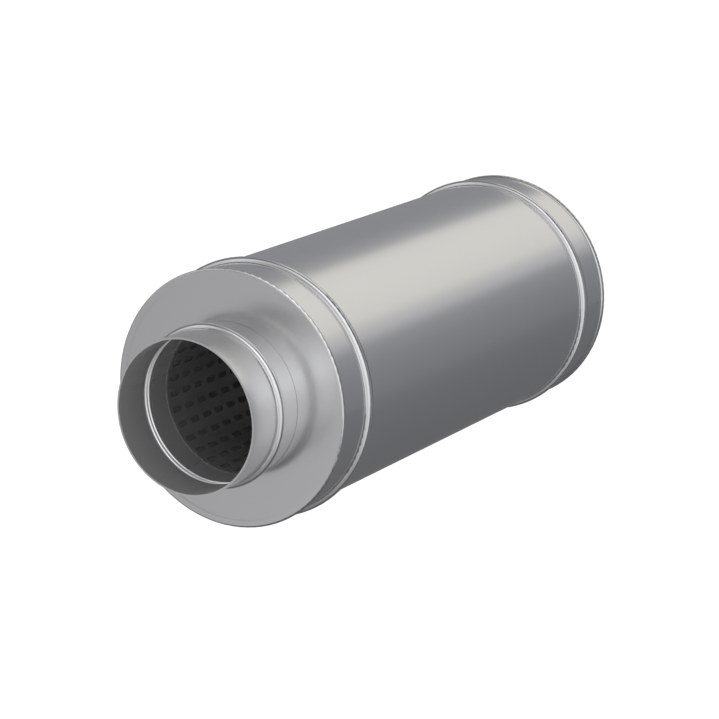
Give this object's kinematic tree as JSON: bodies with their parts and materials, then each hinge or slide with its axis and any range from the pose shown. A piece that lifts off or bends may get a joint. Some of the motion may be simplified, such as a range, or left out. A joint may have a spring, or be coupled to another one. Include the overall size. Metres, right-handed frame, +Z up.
{
  "type": "duct sound attenuator",
  "caption": "Round duct sound attenuator: steel casing with stone wool packed round a perforated airway, and a beaded spigot at each end.",
  "frame": {"origin": "middle of the casing, on the airway's axis", "axes": "+Y along the airway from the front spigot to the rear one, +Z up as it hangs in a level duct run, +X across"},
  "size_m": [0.27, 0.751, 0.2698],
  "materials": {
    "casing_steel": "satin galvanised sheet",
    "disc_steel": "satin galvanised sheet",
    "spigot_steel": "satin galvanised sheet",
    "perforated_steel": "dull galvanised sheet",
    "seal_rubber": "matte",
    "black_fleece": "matte fibre fleece",
    "stone_wool": "fibrous"
  },
  "bodies": {
    "root": {"outer_casing": "casing_steel", "front_end_disc": "disc_steel", "rear_end_disc": "disc_steel", "front_rim_seal": "seal_rubber", "rear_rim_seal": "seal_rubber", "front_spigot": "spigot_steel", "rear_spigot": "spigot_steel", "perforated_tube": "perforated_steel", "fleece_wrap": "black_fleece", "upper_wool_shell": "stone_wool", "lower_wool_shell": "stone_wool"}
  },
  "joints": []
}
